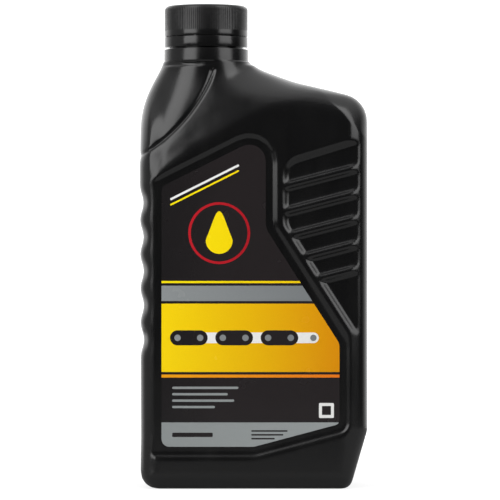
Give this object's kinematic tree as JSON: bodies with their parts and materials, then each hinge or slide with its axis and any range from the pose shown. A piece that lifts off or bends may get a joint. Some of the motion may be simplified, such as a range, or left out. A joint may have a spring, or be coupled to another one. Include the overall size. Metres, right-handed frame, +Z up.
{
  "type": "bar and chain oil bottle",
  "caption": "Flat blow-moulded oil bottle with an offset screw-capped neck, ribbed grip pockets, finger scallops and a recessed front label.",
  "frame": {"origin": "middle of the overall box, on the surface the bottle stands on", "axes": "+Z up, the labelled front faces -Y, the neck is on the -X side"},
  "size_m": [0.1074, 0.057, 0.228],
  "materials": {
    "bottle": "black blow-moulded polyethylene, semi-gloss",
    "cap": "black moulded polyethylene, semi-gloss, knurled",
    "tamper_band": "black moulded polyethylene, semi-gloss",
    "cap_liner": "white foamed polyethylene",
    "label": "black printed film with amber, yellow and grey fields"
  },
  "bodies": {
    "bottle": {"bottle": "bottle", "tamper_band": "tamper_band", "label": "label"},
    "liner": {"cap_liner": "cap_liner"},
    "cap": {"cap": "cap"}
  },
  "joints": [
    {"name": "cap_rise", "type": "slide", "parent": "bottle", "child": "liner", "axis": [0, 0, 1], "range_m": [0, 0.0127]},
    {"name": "cap_turn", "type": "hinge", "parent": "liner", "child": "cap", "pos_m": [-0.0224, 0, 0.22], "axis": [0, 0, 1], "range_deg": [0, 1080]}
  ],
  "couplings": [
    {"joint": "cap_rise", "follows": "cap_turn", "m_per_rad": 0.00067322}
  ]
}
